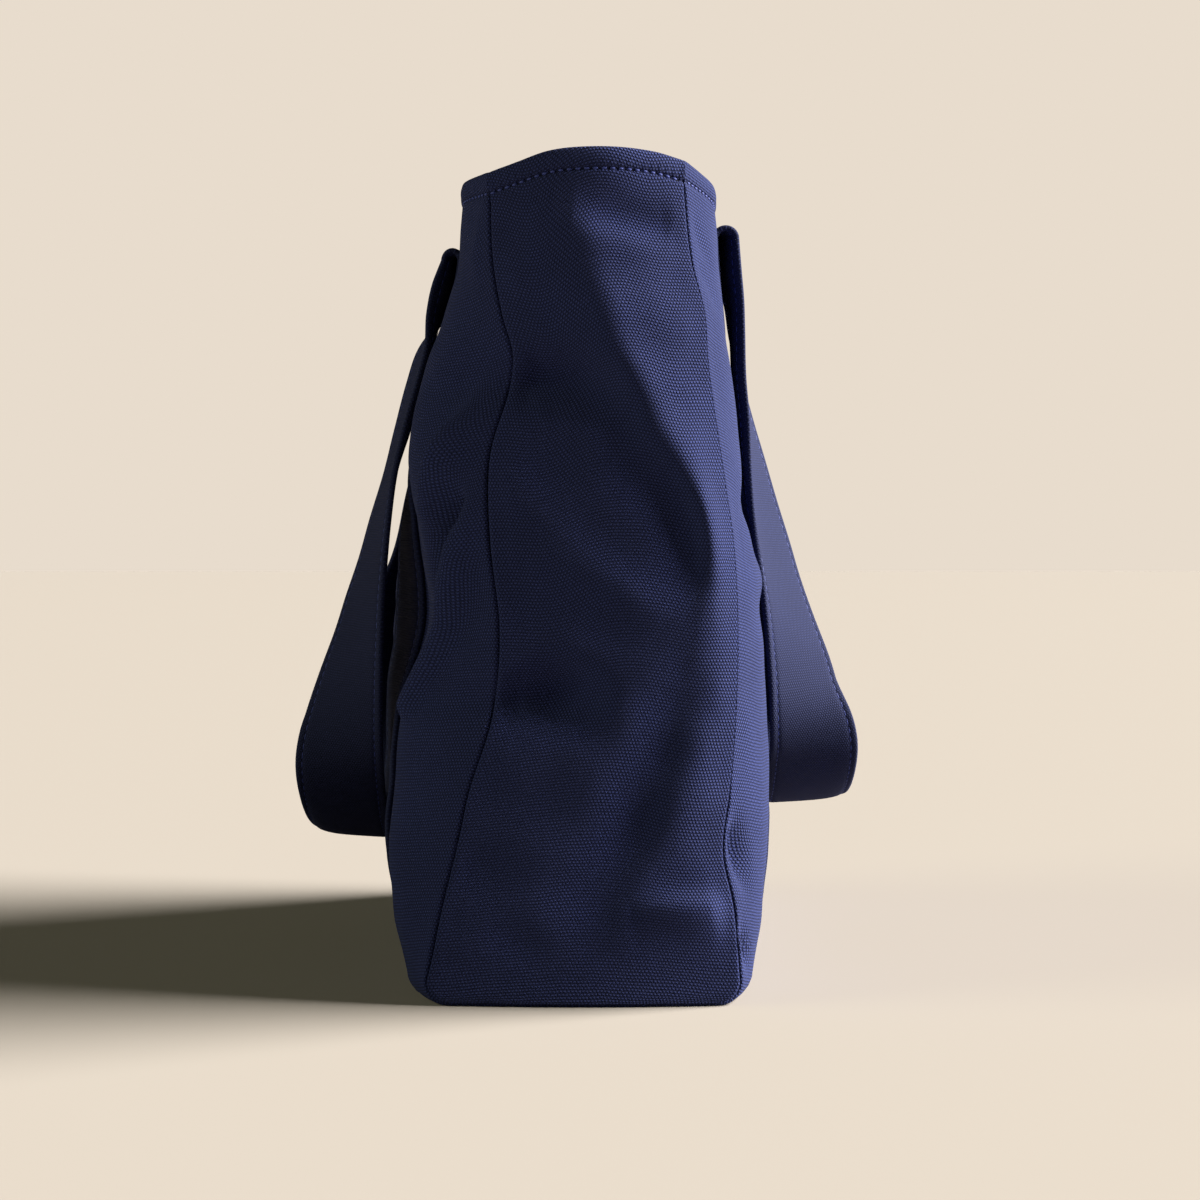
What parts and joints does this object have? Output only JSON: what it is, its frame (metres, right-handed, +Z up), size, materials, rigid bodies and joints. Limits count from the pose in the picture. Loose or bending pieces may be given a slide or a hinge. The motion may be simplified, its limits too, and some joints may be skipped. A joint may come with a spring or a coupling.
{
  "type": "tote bag",
  "caption": "Soft canvas tote bag that stands open and empty on its base, with gusseted ends and long strap handles whose loops hang down outside.",
  "frame": {"origin": "middle of the whole object's box at the height of the surface that the bag stands on", "axes": "+Z up, +X along the bag towards the end panel called near, +Y from the front face to the back face"},
  "size_m": [0.4, 0.2576, 0.3497],
  "materials": {
    "canvas": "navy cotton canvas in a coarse basket weave, matt",
    "strap_canvas": "the same navy canvas folded and pressed into a flat strap, matt",
    "thread": "navy sewing thread"
  },
  "bodies": {
    "root": {"body": "canvas", "gusset_near": "canvas", "gusset_far": "canvas", "strap_front": "strap_canvas", "strap_back": "strap_canvas"}
  },
  "joints": []
}
